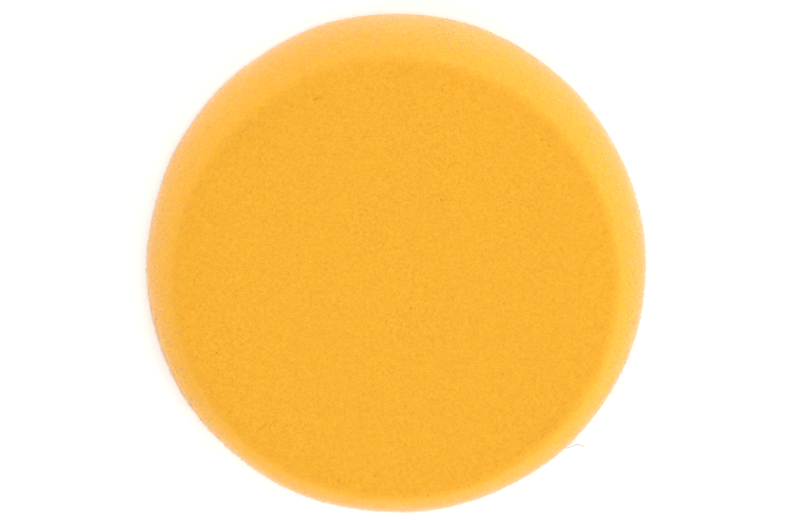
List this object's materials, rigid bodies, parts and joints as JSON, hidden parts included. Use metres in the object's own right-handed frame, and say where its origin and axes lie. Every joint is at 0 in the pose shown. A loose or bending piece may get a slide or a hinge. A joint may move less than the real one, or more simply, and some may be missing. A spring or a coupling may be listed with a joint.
{
  "type": "polishing pad",
  "caption": "Round foam polishing pad with a flat working face, a crowned shoulder and a hook-and-loop fabric back.",
  "frame": {"origin": "centre of the loop face, on the plane that the backing plate and a table touch", "axes": "+Z along the pad's axis, out of the polishing face; +X and +Y are any two square directions across the round pad"},
  "size_m": [0.15, 0.15, 0.03],
  "materials": {
    "foam": "soft fine-cell polyurethane foam, orange-yellow, matte",
    "adhesive": "translucent hot-melt film, satin",
    "backing_fabric": "off-white warp-knitted ground, matte",
    "loop_pile": "off-white brushed loops, fuzzy"
  },
  "bodies": {
    "root": {"foam_pad": "foam", "adhesive_film": "adhesive", "backing_fabric": "backing_fabric", "loop_pile": "loop_pile"}
  },
  "joints": []
}
